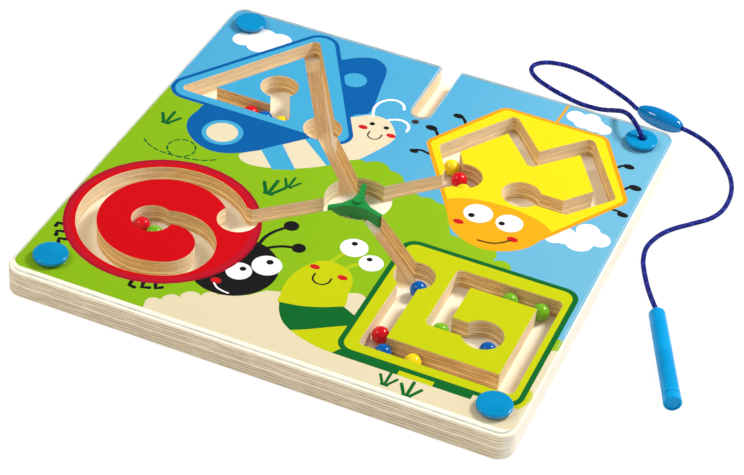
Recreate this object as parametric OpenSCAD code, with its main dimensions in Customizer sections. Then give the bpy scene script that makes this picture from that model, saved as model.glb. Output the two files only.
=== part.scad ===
// Magnetic ball maze: a printed plywood board with grooves under a clear cover, sixteen steel
// balls, a three-armed rotor at the crossing of the grooves, and a magnet wand on a cord.
// Millimetres. The origin is at the centre of the board's underside, +Z is up, and the slot
// that stores the wand opens towards +Y.

/* [Board] */
// Side of the square board
board_side = 300; // [298:1:310]
// Radius of the board's corners
corner_r = 10; // [9:0.5:14]
// Thickness of the lower panel, whose top face is the floor of the grooves
base_t = 5; // [4.5:0.5:8]
// Thickness of the upper panel, which the grooves are cut through
maze_t = 12; // [12:0.5:14]
// Chamfer on the board's upper and lower edges
edge_chamfer = 0.8; // [0.4:0.1:1.5]

/* [Grooves] */
// Width of a groove
groove_w = 12; // [11.6:0.1:12.4]
// Radius of the round pocket at each end of a maze
pocket_r = 12; // [11.5:0.1:12.5]
// Radius of the rotor's round pocket
hub_pocket_r = 20; // [19.8:0.1:21]
// Outer corner radius where a groove turns
turn_r = 3.5; // [2:0.5:5]

/* [Cover] */
// Thickness of the clear cover
cover_t = 2; // [1.5:0.1:3]
// Distance from the board's edge to the cover's edge
cover_inset = 2; // [1:0.5:4]
// Gap under the cover, taken up by the printed ink
ink_gap = 0.06; // [0.02:0.01:0.1]

/* [Rivets] */
// Distance of the cord's rivet from the board's centre lines
rivet_at = 132; // [131:1:136]
// Radius of a rivet's head
rivet_head_r = 10; // [8:0.5:11]
// Height of a rivet's head at its centre
rivet_head_h = 2.6; // [2:0.1:3]
// Radius of a rivet's shank
rivet_shank_r = 4; // [3.5:0.1:4.5]

/* [Rotor] */
// Length of an arm from the axle
arm_len = 18.6; // [17:0.1:19]
// Height of an arm
arm_h = 7.6; // [6:0.1:8]
// Direction of the first arm
arm_angle = 101; // [0:1:119]
// Radius of the rotor's axle pin
axle_r = 1.5; // [1:0.1:2]

/* [Balls] */
// Radius of a ball
ball_r = 5; // [4.8:0.05:5]
// Gap between a resting ball and the floor of its groove
ball_gap = 0.03; // [0.01:0.01:0.05]

/* [Cord and wand] */
// Radius of the cord
cord_r = 1.5; // [1.2:0.1:1.6]
// Length of the two-part clasp
clasp_len = 30.8; // [30:0.1:34]
// Largest radius of the clasp
clasp_r = 6.1; // [5:0.1:6.5]
// Length of the wand
wand_len = 75.4; // [70:0.1:90]
// Radius of the wand's tip
wand_r = 5.2; // [4.9:0.1:5.4]

/* [Hidden] */
$fn = 64;

fit = 0.05;                                   // radial clearance of every shaft in its hole
floor_z = base_t;                             // floor of the grooves
print_z = base_t + maze_t;                    // printed face of the board
cover_z = print_z + ink_gap;                  // underside of the cover
cover_top = cover_z + cover_t;                // top of the cover

ply_color = "burlywood";
rivet_color = "dodgerblue";
cord_color = "navy";
wand_color = "deepskyblue";

// ---- groove layout -------------------------------------------------------------------------

// Centres of the pockets where the four mazes start
square_start = [55.5, -49.5];
hexagon_start = [46.5, 49.5];
triangle_start = [-46.5, 53.5];
spiral_start = [-54, -50];

// Each groove runs through its points with straight legs
square_path = [
  square_start, [55.5, -110.8], [132.8, -110.8], [132.8, -38.7], [81.5, -38.7],
  [81.5, -79], [107.5, -79]
];
hexagon_path = [
  [40.5, 52.4], [29.5, 71.5], [55, 113], [79, 85], [103.5, 113], [128.5, 71.5],
  [111, 49], [84, 49]
];
triangle_path = [
  [-43.9, 53.5], [-87.5, 129], [-132.5, 56], [-75.9, 55.5], [-87, 80]
];
square_end = [107.5, -79];
hexagon_end = [84, 49];
triangle_end = [-88, 81];
spiral_end = [-97.5, -72];

// The spiral: its centre, the radii of its outer and inner arcs, the angle where it starts, the
// angle where the arcs join, the angle where it ends, and the angle between its points
spiral_at = [-91.5, -70.3];
spiral_r = 43.7;
spiral_inner_r = 23;
spiral_from = 28;
spiral_join = 300;
spiral_to = 482;
spiral_step = 4;

// Far ends of the four straight grooves that meet at the rotor
crossing_ends = [square_start, [46.5, 48], triangle_start, spiral_start];

// Wand slot: its width and the centre of its round inner end
slot_w = 13;
slot_end = [0.9, 97.2];

// Places of the three plain rivets, and of the rivet that holds the cord
plain_spots = [[-132.8, 133.8], [-130.8, -129.7], [133.4, -130.8]];
cord_spot = [rivet_at, rivet_at];

// ---- outlines ------------------------------------------------------------------------------

function unit(v) = v / norm(v);
function left_of(v) = [-v[1], v[0]];

// A straight bar of the groove's width between two points
module bar(a, b) {
  d = b - a;
  translate(a) rotate(atan2(d[1], d[0])) translate([0, -groove_w / 2]) square([norm(d), groove_w]);
}

function arc_points(centre, r, from, to, step) = let (n = max(1, ceil(abs(to - from) / step)))
  [for (i = [0 : n]) let (t = from + (to - from) * i / n) centre + r * [cos(t), sin(t)]];
function reversed(list) = [for (i = [len(list) - 1 : -1 : 0]) list[i]];

// One wall of a groove, on the left (s = 1) or right (s = -1) of its line, where the line turns
// at v: a round corner on the outside of the turn and a sharp one on the inside
function wall_corner(a, v, b, s) =
  let (
    n1 = s * left_of(unit(v - a)), n2 = s * left_of(unit(b - v)),
    out = unit(n1 + n2), lean = out * n1,
    swing = atan2(n1[0] * n2[1] - n1[1] * n2[0], n1 * n2),
    start = atan2(n1[1], n1[0])
  )
  s * swing > 0
    ? [v + out * groove_w / 2 / lean]
    : arc_points(v + out * (groove_w / 2 - turn_r) / lean, turn_r, start, start + swing, 10);

function wall(p, s) = let (last = len(p) - 1, half = s * groove_w / 2) concat(
  [p[0] + half * left_of(unit(p[1] - p[0]))],
  [for (i = [1 : last - 1]) each wall_corner(p[i - 1], p[i], p[i + 1], s)],
  [p[last] + half * left_of(unit(p[last] - p[last - 1]))]
);

// A groove through a list of points
module groove(p) {
  polygon(concat(wall(p, 1), reversed(wall(p, -1))));
}

// One wall of the spiral: an arc and a smaller one that goes on from it without a corner
function spiral_wall(offset) = let (
    r1 = spiral_r + offset, r2 = spiral_inner_r + offset,
    c2 = spiral_at + (spiral_r - spiral_inner_r) * [cos(spiral_join), sin(spiral_join)],
    first = arc_points(spiral_at, r1, spiral_from, spiral_join, spiral_step),
    second = arc_points(c2, r2, spiral_join, spiral_to, spiral_step)
  )
  concat(first, [for (i = [1 : len(second) - 1]) second[i]]);

module spiral_groove() {
  polygon(concat(spiral_wall(groove_w / 2), reversed(spiral_wall(-groove_w / 2))));
}

// Every groove of the maze
module maze_outline() {
  circle(hub_pocket_r);
  for (e = crossing_ends) bar([0, 0], e);
  for (p = [square_start, hexagon_start, triangle_start, spiral_start]) pocket(p);
  for (p = [square_end, hexagon_end, triangle_end, spiral_end]) pocket(p);
  groove(square_path);
  groove(hexagon_path);
  groove(triangle_path);
  spiral_groove();
}

module pocket(p) {
  translate(p) circle(pocket_r);
}

// The slot that the wand lies in, open at the rear edge; grow widens it on every side
module slot_outline(grow) {
  w = slot_w + 2 * grow;
  translate(slot_end) circle(w / 2);
  translate(slot_end - [w / 2, 0]) square([w, board_side]);
}

// A square plate with round corners, and a chamfer on its lower and upper edges
module plate(side, r, z0, z1, low_chamfer, high_chamfer) {
  inner = side / 2 - r;
  profile = [
    [0, z0], [r - low_chamfer, z0], [r, z0 + low_chamfer],
    [r, z1 - high_chamfer], [r - high_chamfer, z1], [0, z1]
  ];
  translate([-inner, -inner, z0]) cube([2 * inner, 2 * inner, z1 - z0]);
  for (k = [0 : 3]) rotate(90 * k) {
    translate([inner, inner, 0]) rotate_extrude() polygon(profile);
    translate([inner, inner, 0]) rotate([90, 0, 0]) linear_extrude(2 * inner) polygon(profile);
  }
}

// ---- board ---------------------------------------------------------------------------------

knot_pocket_r = 5.4;
knot_pocket_h = 4;

module rivet_holes(spots, z0, z1) {
  for (p = spots) translate([p[0], p[1], z0]) cylinder(r = rivet_shank_r + fit, h = z1 - z0);
}

module base_board() {
  color(ply_color) difference() {
    plate(board_side, corner_r, 0, base_t, edge_chamfer, 0);
    rivet_holes(plain_spots, 1, base_t + 1);
    translate([cord_spot[0], cord_spot[1], 1]) cylinder(r = knot_pocket_r, h = base_t);
    translate([0, 0, 1]) cylinder(r = axle_r, h = base_t);
    translate([screw_x, screw_y, base_t - screw_bite]) cylinder(r = screw_r, h = base_t);
  }
}

module maze_board() {
  color(ply_color) difference() {
    plate(board_side, corner_r, base_t, print_z, 0, edge_chamfer);
    translate([0, 0, base_t - 1]) linear_extrude(maze_t + 2) {
      maze_outline();
      slot_outline(0);
    }
    rivet_holes(concat(plain_spots, [cord_spot]), base_t - 1, print_z + 1);
    translate([screw_x, screw_y, 0]) cylinder(r = screw_r, h = print_z + 1);
    translate([screw_x, screw_y, print_z - screw_head_h])
      cylinder(r1 = screw_r, r2 = screw_head_r, h = screw_head_h + 0.001);
  }
}

module clear_cover() {
  side = board_side - 2 * cover_inset;
  color("lightcyan", 0.3) difference() {
    plate(side, corner_r - cover_inset, cover_z, cover_top, 0, 0.3);
    translate([0, 0, cover_z - 1]) linear_extrude(cover_t + 2) slot_outline(0.5);
    rivet_holes(concat(plain_spots, [cord_spot]), cover_z - 1, cover_top + 1);
  }
}

// ---- fasteners -----------------------------------------------------------------------------

screw_x = 0.9;
screw_y = 86.8;
screw_r = 1.5;
screw_head_r = 2.4;
screw_head_h = 1.6;
screw_bite = 3;

// Steel countersunk screw beside the slot's inner end, which the wand's magnet clings to
module keeper_screw() {
  color("dimgray") translate([screw_x, screw_y, 0]) difference() {
    union() {
      translate([0, 0, base_t - screw_bite])
        cylinder(r = screw_r, h = print_z - base_t + screw_bite - screw_head_h);
      translate([0, 0, print_z - screw_head_h])
        cylinder(r1 = screw_r, r2 = screw_head_r, h = screw_head_h);
    }
    for (a = [0, 90]) rotate(a) translate([-1.2, -0.3, print_z - 0.8]) cube([2.4, 0.6, 2]);
  }
}

// Low domed head with an upright rim and a round edge
module rivet_head() {
  edge_r = 0.8;
  rim = 1.1;
  inner = rivet_head_r - edge_r;
  rise = rivet_head_h - rim - edge_r;
  dome_r = (inner * inner + rise * rise) / (2 * rise);
  edge = [for (a = [0 : 15 : 75]) [inner + edge_r * cos(a), rim + edge_r * sin(a)]];
  dome = [for (k = [1 : 4]) let (x = inner * (1 - k / 4))
    [x, rivet_head_h - dome_r + sqrt(dome_r * dome_r - x * x)]];
  translate([0, 0, cover_top]) rotate_extrude()
    polygon(concat([[0, 0], [rivet_head_r, 0]], edge, [[inner, rim + edge_r]], dome));
}

module corner_rivets() {
  color(rivet_color) for (p = plain_spots) translate([p[0], p[1], 0]) {
    rivet_head();
    translate([0, 0, 1]) cylinder(r = rivet_shank_r, h = cover_top);
  }
}

cord_bore_r = 2.4;

module cord_rivet() {
  color(rivet_color) translate([cord_spot[0], cord_spot[1], 0]) difference() {
    union() {
      rivet_head();
      translate([0, 0, base_t]) cylinder(r = rivet_shank_r, h = cover_top - base_t + 1);
    }
    cylinder(r = cord_bore_r, h = cover_top + 5);
    translate([0, 0, cover_top + 1.4]) cylinder(r1 = cord_bore_r, r2 = cord_bore_r + 1.6, h = 1.6);
  }
}

// ---- rotor ---------------------------------------------------------------------------------

arm_top = print_z - 2.4;
arm_t = 3;
hub_r = 4.5;
boss_r = 2.6;
boss_h = 1.5;

// One arm: a bar with a round tip that flares into the hub
module arm_outline() {
  translate([0, -arm_t / 2]) square([arm_len - arm_t / 2, arm_t]);
  translate([arm_len - arm_t / 2, 0]) circle(arm_t / 2);
  polygon([[0, -hub_r], [3, -hub_r + 1], [9, -arm_t / 2], [9, arm_t / 2], [3, hub_r - 1], [0, hub_r]]);
}

module rotor() {
  color("forestgreen") difference() {
    union() {
      translate([0, 0, arm_top - arm_h]) linear_extrude(arm_h)
        for (k = [0 : 2]) rotate(arm_angle + 120 * k) arm_outline();
      translate([0, 0, floor_z + fit]) cylinder(r = hub_r, h = arm_top - floor_z - fit);
      translate([0, 0, arm_top]) cylinder(r = boss_r, h = boss_h);
    }
    cylinder(r = axle_r + fit, h = arm_top - 1);
  }
}

// Steel pin pressed into the lower panel
module rotor_axle() {
  color("silver") translate([0, 0, 1]) cylinder(r = axle_r, h = arm_top - 3);
}

// ---- balls ---------------------------------------------------------------------------------

// Puts a ball on the groove floor at a place in the plan
module ball(at, c) {
  color(c) translate([at[0], at[1], floor_z + ball_r + ball_gap]) sphere(ball_r);
}

module ball_square_blue_1() ball([59.6, -52], "mediumblue");
module ball_square_red_1() ball([55.3, -97.2], "red");
module ball_square_blue_2() ball([62, -110.1], "mediumblue");
module ball_square_yellow_1() ball([79.3, -110], "yellow");
module ball_square_green_1() ball([108.9, -37.9], "limegreen");
module ball_square_green_2() ball([127.7, -38.4], "limegreen");
module ball_square_green_3() ball([83.5, -79.5], "limegreen");
module ball_square_blue_3() ball([112.5, -82.3], "mediumblue");
module ball_hexagon_yellow_1() ball([34.8, 62.9], "yellow");
module ball_hexagon_red_1() ball([43.4, 53.2], "red");
module ball_hexagon_yellow_2() ball([49.7, 43.5], "yellow");
module ball_spiral_red_1() ball([-103.9, -72.6], "red");
module ball_spiral_green_1() ball([-93.8, -76.3], "limegreen");
module ball_triangle_red_1() ball([-95.7, 55.55], "red");
module ball_triangle_blue_1() ball([-85.6, 54.65], "mediumblue");
module ball_triangle_yellow_1() ball([-74.5, 54.6], "yellow");

// ---- cord ----------------------------------------------------------------------------------

// Where the cord leaves the clasp and where it enters the wand, at rest
clasp_left = [117.08, 181.37, clasp_r + 0.03];
clasp_right = [147.14, 174.7, clasp_r + 0.03];
clasp_dir = unit(clasp_right - clasp_left);
wand_top = [185.2, -2.4, wand_r + 0.03];
wand_heading = -66.3;
wand_dir = [cos(wand_heading), sin(wand_heading), 0];
flex_gap = 0.05;

// Point on the spline through a, b, c and d, between b (t = 0) and c (t = 1)
function spline(a, b, c, d, t) =
  0.5 * (2 * b + (c - a) * t + (2 * a - 5 * b + 4 * c - d) * t * t + (3 * b - a - 3 * c + d) * t * t * t);

// A smooth line through the points, with steps points in each span
function smooth(p, steps) = concat(
  [for (i = [1 : len(p) - 3]) for (s = [0 : steps - 1]) spline(p[i - 1], p[i], p[i + 1], p[i + 2], s / steps)],
  [p[len(p) - 2]]
);

function carried(side, dir) = unit(side - dir * (side * dir));
function directions(line) = let (n = len(line))
  [for (i = [0 : n - 1]) unit(line[min(i + 1, n - 1)] - line[max(i - 1, 0)])];
// Side vectors that follow the line without twisting
function sides(dirs) =
  [for (i = 0, s = carried([1, 0, 0.01], dirs[0]); i < len(dirs); i = i + 1,
    s = i < len(dirs) ? carried(s, dirs[i]) : s) s];

// Rings that close a cord's end: a ball of radius r that starts at the cord's own radius, and
// bulges sideways by the factor wide. Each ring is [distance past the end, radius].
function closing(r, wide) = let (first = asin(cord_r / (r * wide)), rings = 6)
  [for (k = [1 : rings]) let (a = first + (168 - first) * k / rings)
    [r * (cos(first) - cos(a)), r * wide * sin(a)]];

// A round tube swept along a line, with its ends closed by rings
module sweep(line, around, start_rings, end_rings) {
  n = len(line);
  s = len(start_rings);
  dirs = directions(line);
  side = sides(dirs);
  start = [for (k = [s - 1 : -1 : 0])
    [line[0] - dirs[0] * start_rings[k][0], start_rings[k][1], 0]];
  middle = [for (i = [0 : n - 1]) [line[i], cord_r, i]];
  end = [for (e = end_rings) [line[n - 1] + dirs[n - 1] * e[0], e[1], n - 1]];
  rings = concat(start, middle, end);
  m = len(rings);
  points = [for (g = rings) for (j = [0 : around - 1]) let (a = 360 * j / around, i = g[2])
    g[0] + g[1] * (cos(a) * side[i] + sin(a) * cross(dirs[i], side[i]))];
  walls = [for (k = [0 : m - 2]) for (j = [0 : around - 1])
    let (p = k * around + j, q = k * around + (j + 1) % around)
    [p, q, q + around, p + around]];
  first = [for (j = [around - 1 : -1 : 0]) j];
  last = [for (j = [0 : around - 1]) (m - 1) * around + j];
  polyhedron(points, concat([last], walls, [first]), convexity = 10);
}

lie = cord_r + 0.03;                          // height of the cord's centre on the table
mouth_gap = cord_r + 0.15;                    // from a mouth to the flex point outside it

// Line of the cord from its knot under the board, over the rear edge and round to the clasp
lead_line = [
  [rivet_at, rivet_at, 0], [rivet_at, rivet_at, base_t - fit], [rivet_at, rivet_at, 11],
  [rivet_at, rivet_at, 17], [131.7, 132.3, 21], [129.7, 133, 24.8], [126.2, 135.4, 27.3],
  [122.2, 139.6, 27.8], [118, 145, 26.2], [112.6, 151.4, 22.3], [105.9, 158.4, 16.2],
  [98.9, 166, 9.3], [90.8, 172.4, 3.9], [80, 175.9, lie], [70, 178.4, lie], [58, 182.7, lie],
  [46, 189, lie], [39.4, 196.5, lie], [39.8, 204.3, lie], [47, 210.3, lie], [60, 212.5, lie],
  [76, 209.2, lie], [92, 201.8, lie], [101, 195.9, 2.4], [108, 189.2, 4.5],
  clasp_left - 2 * clasp_dir, clasp_left + 1.5 * clasp_dir, clasp_left + 4.2 * clasp_dir,
  clasp_left + 8 * clasp_dir
];

// Line of the cord from the clasp to the wand
plug_flex = clasp_right + mouth_gap * clasp_dir;
wand_flex = wand_top - mouth_gap * wand_dir;
tail_line = [
  plug_flex - [4, -1, -0.4], plug_flex, [150.9, 174.7, 5.5], [154, 175.6, 4.1],
  [157.2, 176, 2.9], [160.8, 175.4, 2], [165.8, 173, lie], [172.4, 167.5, lie],
  [180, 157.8, lie], [187, 147.1, lie], [191.4, 135.7, lie],
  [193.2, 123.2, lie], [192.2, 110.4, lie], [187.9, 100, lie], [179.8, 90.2, lie],
  [170.6, 79.6, lie], [164.7, 68.8, lie], [161.8, 56, lie], [163.5, 43.4, lie],
  [167.5, 32.8, lie], [172.1, 23, lie], [177, 13.4, 2.4], [180.9, 5.6, 4.2],
  wand_flex - (cord_r + flex_gap) * wand_dir, wand_flex + 4 * wand_dir
];

sides_round = 12;
span_steps = 4;

// Turns +Z to point along a level direction, with the origin moved to p
module lay(p, dir) {
  translate(p) rotate([0, 90, atan2(dir[1], dir[0])]) children();
}

// A knot in the cord's end
module knot(r) {
  sphere(r);
}

// The lead ends in a flat knot under the rivet and a round one inside the clasp's socket
module cord_lead() {
  color(cord_color)
    sweep(smooth(lead_line, span_steps), sides_round, closing(1.9, 2.2), closing(2.3, 1));
}

module cord_tail() {
  color(cord_color) sweep(smooth(tail_line, span_steps), sides_round, closing(cord_r, 1), []);
}

// Last bead of the cord, which bends where the cord enters the wand
module cord_end() {
  color(cord_color) translate(wand_flex) sphere(cord_r);
}

// ---- clasp ---------------------------------------------------------------------------------

clasp_half = clasp_len / 2;
clasp_hole_r = 2.05;
clasp_bore_r = 3;
clasp_wall = 3.6;
nose_len = 7.2;

// Radius of the oval clasp at distance x from its middle
function clasp_radius(x) = clasp_r * sqrt(1 - pow(abs(x) / (clasp_half * 1.08), 2.3));

// Half of the oval, from z = 0 at the middle to its end
module half_oval() {
  steps = 14;
  rotate_extrude() polygon(concat(
    [[0, 0]],
    [for (i = [0 : steps]) let (x = clasp_half * sin(90 * i / steps)) [clasp_radius(x), x]],
    [[0, clasp_half]]
  ));
}

module clasp_middle() {
  lay((clasp_left + clasp_right) / 2, clasp_dir) children();
}

module clasp_socket() {
  color(rivet_color) clasp_middle() rotate([180, 0, 0]) difference() {
    half_oval();
    translate([0, 0, -1]) cylinder(r = clasp_bore_r, h = clasp_half - clasp_wall + 1);
    cylinder(r = clasp_hole_r, h = clasp_half + 1);
  }
}

module clasp_plug() {
  color(rivet_color) clasp_middle() difference() {
    union() {
      translate([0, 0, flex_gap]) intersection() {
        half_oval();
        cylinder(r = clasp_r + 1, h = clasp_half - flex_gap);
      }
      translate([0, 0, -nose_len]) cylinder(r = clasp_bore_r - fit, h = nose_len + 1);
    }
    translate([0, 0, -nose_len - 1]) cylinder(r = 2.35, h = nose_len + clasp_half - clasp_wall + 1);
    cylinder(r = cord_r + fit, h = clasp_half + 1);
  }
}

// The stub and knot of the tail cord inside the plug
module plug_knot() {
  color(cord_color) clasp_middle() {
    translate([0, 0, 9.8]) knot(2.2);
    translate([0, 0, 9.8]) cylinder(r = cord_r, h = clasp_half - 9.8);
  }
}

// ---- wand ----------------------------------------------------------------------------------

barrel_len = wand_len - 9;
barrel_bore_r = 3.3;
barrel_mouth = 4;
neck_r = wand_r - 0.35;
joint_r = wand_r - 0.15;
spigot_len = 8;
magnet_r = 2.5;
magnet_len = 10;
tip_wall = 2;

module along_wand() {
  lay(wand_top, wand_dir) children();
}

module wand_barrel() {
  round_r = 2;
  color(wand_color) along_wand() difference() {
    rotate_extrude() {
      translate([neck_r - round_r, round_r]) circle(round_r);
      polygon([
        [0, 0], [neck_r - round_r, 0], [neck_r, round_r], [joint_r, barrel_len], [0, barrel_len]
      ]);
    }
    translate([0, 0, barrel_mouth]) cylinder(r = barrel_bore_r, h = barrel_len);
    translate([0, 0, -1]) cylinder(r = cord_r + fit, h = barrel_len);
  }
}

module wand_knot() {
  knot_at = barrel_mouth + 2.7;
  color(cord_color) along_wand() {
    translate([0, 0, knot_at]) knot(2.6);
    cylinder(r = cord_r, h = knot_at);
  }
}

module wand_tip() {
  round_r = 1.1;
  seam = 2.6;
  tip_len = wand_len - barrel_len;
  color(wand_color) along_wand() translate([0, 0, barrel_len]) difference() {
    rotate_extrude() {
      translate([0, -spigot_len]) square([barrel_bore_r - fit, spigot_len + 1]);
      polygon([
        [0, flex_gap], [joint_r, flex_gap], [joint_r, seam], [joint_r - 0.35, seam + 0.25],
        [joint_r - 0.35, seam + 0.65], [wand_r, seam + 0.9], [wand_r, tip_len - round_r],
        [wand_r - round_r, tip_len], [0, tip_len]
      ]);
      translate([wand_r - round_r, tip_len - round_r]) circle(round_r);
    }
    translate([0, 0, -spigot_len - 1])
      cylinder(r = magnet_r + fit, h = spigot_len + 1 + tip_len - tip_wall);
    translate([0, 0, tip_len - 0.6]) cylinder(r = wand_r - round_r - 0.2, h = 1);
  }
}

module wand_magnet() {
  color("silver") along_wand() translate([0, 0, wand_len - tip_wall - magnet_len - fit])
    cylinder(r = magnet_r, h = magnet_len);
}

// ---- parts ---------------------------------------------------------------------------------

base_board();
maze_board();
clear_cover();
corner_rivets();
cord_rivet();
keeper_screw();
rotor();
rotor_axle();
ball_square_blue_1();
ball_square_red_1();
ball_square_blue_2();
ball_square_yellow_1();
ball_square_green_1();
ball_square_green_2();
ball_square_green_3();
ball_square_blue_3();
ball_hexagon_yellow_1();
ball_hexagon_red_1();
ball_hexagon_yellow_2();
ball_spiral_red_1();
ball_spiral_green_1();
ball_triangle_red_1();
ball_triangle_blue_1();
ball_triangle_yellow_1();
cord_lead();
clasp_socket();
clasp_plug();
plug_knot();
cord_tail();
cord_end();
wand_barrel();
wand_knot();
wand_tip();
wand_magnet();
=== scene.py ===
"""Looks of the magnetic ball maze: printed plywood board, clear cover, painted balls, braided cord.

Design sizes in this script are in millimetres, in the CAD frame; MM turns them into metres.
"""

import math

import bpy
import numpy as np
from mathutils import Matrix, Vector
from mathutils.geometry import delaunay_2d_cdt


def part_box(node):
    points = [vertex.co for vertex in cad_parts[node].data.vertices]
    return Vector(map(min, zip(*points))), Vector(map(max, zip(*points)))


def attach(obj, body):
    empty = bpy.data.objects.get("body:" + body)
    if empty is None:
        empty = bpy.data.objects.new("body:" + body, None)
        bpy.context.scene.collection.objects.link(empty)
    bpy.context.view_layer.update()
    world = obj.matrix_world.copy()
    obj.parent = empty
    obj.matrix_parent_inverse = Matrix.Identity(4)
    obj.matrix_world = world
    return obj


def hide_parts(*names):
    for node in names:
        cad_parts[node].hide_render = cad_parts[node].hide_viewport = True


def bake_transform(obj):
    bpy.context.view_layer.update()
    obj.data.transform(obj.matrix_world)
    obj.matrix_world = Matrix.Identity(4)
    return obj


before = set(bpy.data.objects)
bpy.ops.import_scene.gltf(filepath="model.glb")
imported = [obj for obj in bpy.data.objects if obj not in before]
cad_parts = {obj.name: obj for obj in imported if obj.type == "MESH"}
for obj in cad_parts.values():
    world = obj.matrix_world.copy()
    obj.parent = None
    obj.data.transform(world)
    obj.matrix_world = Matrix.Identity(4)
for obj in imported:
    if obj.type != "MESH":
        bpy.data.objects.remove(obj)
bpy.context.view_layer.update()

MM = 0.001


# ---- small helpers ---------------------------------------------------------------------------

def linear(rgb):
    """A colour of 0-255 display values as linear RGBA."""
    def one(v):
        v /= 255
        return v / 12.92 if v <= 0.04045 else ((v + 0.055) / 1.055) ** 2.4
    return tuple(one(v) for v in rgb) + (1.0,)


class Shader:
    """A material whose node tree is built by short calls; each call returns an output socket."""

    def __init__(self, name):
        self.material = bpy.data.materials.new(name)
        self.material.use_nodes = True
        self.tree = self.material.node_tree
        self.tree.nodes.clear()

    def node(self, kind, settings=None, inputs=None):
        made = self.tree.nodes.new(kind)
        for key, value in (settings or {}).items():
            setattr(made, key, value)
        for key, value in (inputs or {}).items():
            if isinstance(value, bpy.types.NodeSocket):
                self.tree.links.new(value, made.inputs[key])
            else:
                made.inputs[key].default_value = value
        return made

    def math(self, operation, a, b=0.0, c=0.0):
        return self.node("ShaderNodeMath", {"operation": operation}, {0: a, 1: b, 2: c}).outputs[0]

    def coords(self):
        return self.node("ShaderNodeTexCoord").outputs["Object"]

    def split(self, vector):
        return self.node("ShaderNodeSeparateXYZ", None, {0: vector}).outputs

    def stretch(self, vector, scale):
        """The coordinates multiplied by scale, a number for each axis."""
        return self.node("ShaderNodeVectorMath", {"operation": "MULTIPLY"},
                         {0: vector, 1: scale}).outputs[0]

    def noise(self, vector, scale, detail=3.0, rough=0.5):
        return self.node("ShaderNodeTexNoise", None,
                         {"Vector": vector, "Scale": scale, "Detail": detail, "Roughness": rough}
                         ).outputs["Fac"]

    def ramp(self, value, stops):
        """A ramp through (position, colour) stops; colours are display values."""
        made = self.node("ShaderNodeValToRGB", None, {0: value})
        elements = made.color_ramp.elements
        while len(elements) < len(stops):
            elements.new(0.5)
        for element, (position, colour) in zip(elements, stops):
            element.position = position
            element.color = linear(colour)
        return made.outputs[0]

    def rise(self, value, low, high):
        """0 below low, 1 above high, smooth in between."""
        return self.node("ShaderNodeMapRange", {"interpolation_type": "SMOOTHSTEP"},
                         {0: value, 1: low, 2: high, 3: 0.0, 4: 1.0}).outputs[0]

    def mix(self, share, a, b, blend="MIX"):
        return self.node("ShaderNodeMix", {"data_type": "RGBA", "blend_type": blend},
                         {0: share, 6: a, 7: b}).outputs[2]

    def grey(self, value):
        return self.node("ShaderNodeCombineColor", None, {0: value, 1: value, 2: value}).outputs[0]

    def bump(self, height, distance, strength=1.0, normal=None):
        inputs = {"Height": height, "Distance": distance, "Strength": strength}
        if normal is not None:
            inputs["Normal"] = normal
        return self.node("ShaderNodeBump", None, inputs).outputs[0]

    def eased(self, radius):
        """A normal that rounds sharp edges off at the radius."""
        return self.node("ShaderNodeBevel", {"samples": 4}, {"Radius": radius}).outputs[0]

    def surface(self, **inputs):
        """Ends the tree in a Principled surface; underscores in names stand for spaces."""
        made = self.node("ShaderNodeBsdfPrincipled", None,
                         {key.replace("_", " "): value for key, value in inputs.items()})
        return self.output(made.outputs[0])

    def output(self, shader):
        self.node("ShaderNodeOutputMaterial", None, {"Surface": shader})
        return self.material


def dress(material, *nodes):
    """Gives CAD nodes a material."""
    for name in nodes:
        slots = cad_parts[name].data.materials
        slots.clear()
        slots.append(material)


def new_mesh(name, points, faces, materials, indices=None, smooth=False):
    """A mesh object in the CAD frame from points in millimetres."""
    mesh = bpy.data.meshes.new(name)
    mesh.from_pydata([tuple(p * MM) for p in np.asarray(points, float)], [], faces)
    for material in materials:
        mesh.materials.append(material)
    if indices is not None:
        mesh.polygons.foreach_set("material_index", indices)
    mesh.polygons.foreach_set("use_smooth", [smooth] * len(mesh.polygons))
    mesh.validate()
    mesh.update()
    made = bpy.data.objects.new(name, mesh)
    bpy.context.scene.collection.objects.link(made)
    return made


def unit(v):
    """A vector's direction."""
    return v / np.linalg.norm(v)


def units(rows):
    """The direction of each row."""
    return rows / np.linalg.norm(rows, axis=1)[:, None]


def spline(a, b, c, d, t):
    """A point between b and c, at share t, on a smooth line through a, b, c and d."""
    return 0.5 * (2 * b + (c - a) * t + (2 * a - 5 * b + 4 * c - d) * t ** 2
                  + (3 * b - a - 3 * c + d) * t ** 3)


# ---- materials -------------------------------------------------------------------------------

PLY = 1.95 * MM                # thickness of one ply
OUTER_EDGE = 146.5 * MM        # beyond this distance from a centre line lies the board's own edge

FLOOR_PALE = (252, 243, 224)
FLOOR_LIGHT = (246, 234, 208)
# painted light: the next colour is painted on edge faces towards the right, as if lit from there
EDGE_LIT_WHITE = (230, 225, 215)
EDGE_PALE = (253, 242, 218)
EDGE_LIGHT = (247, 230, 197)
EDGE_DARK = (188, 162, 130)
WALL_PALE = (252, 231, 178)
WALL_LIGHT = (246, 210, 140)
WALL_BROWN = (172, 118, 64)
GLUE = (92, 52, 22)
# painted shade: the next two colours paint the floors of the shaded runs as brown as their walls in shade
RUN_SHADE_PALE = (250, 224, 176)
RUN_SHADE_BROWN = (220, 176, 120)
SHADED_RUNS = (                # runs of groove whose floor is as brown as their walls, in millimetres
    ((-11, 13), (-48.5, 56)),
    ((-43.5, 48), (-88.5, 131)),
    ((12.2, -10.9), (52, -46.4)),
)


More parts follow.
